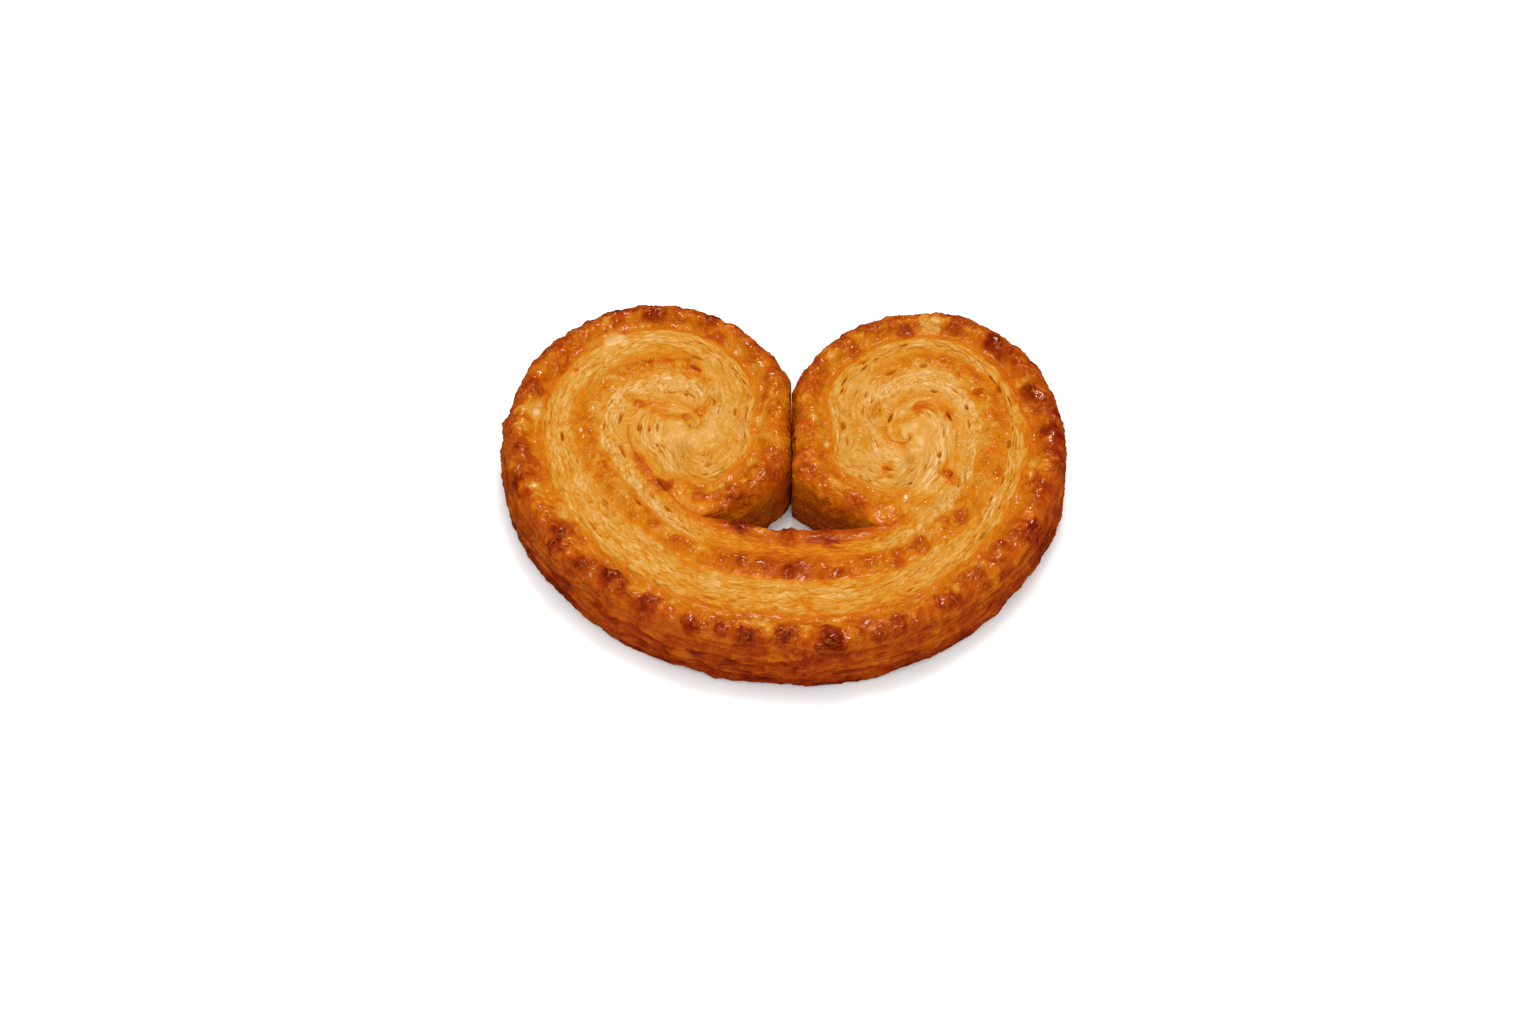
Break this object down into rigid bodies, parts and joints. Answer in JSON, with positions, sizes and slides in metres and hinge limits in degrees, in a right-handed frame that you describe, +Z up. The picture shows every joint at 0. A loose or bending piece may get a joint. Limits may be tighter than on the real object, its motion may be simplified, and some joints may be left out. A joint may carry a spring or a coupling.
{
  "type": "palmier pastry",
  "caption": "Heart-shaped palmier of rolled puff pastry lying flat, with coiled lobes, a browned sugar crust and a small hole between the lobes.",
  "frame": {"origin": "centre of the bounding box at the surface the pastry lies on", "axes": "+X to the right lobe, +Y from the broad front towards the lobes, +Z up through the thickness"},
  "size_m": [0.0964, 0.0772, 0.0128],
  "materials": {
    "crust": "browned puff pastry under a glossy sugar glaze",
    "dough": "pale layered puff pastry, satin where it is buttery",
    "caramel": "amber melted sugar, glossy"
  },
  "bodies": {
    "root": {"palmier": "crust"}
  },
  "joints": []
}
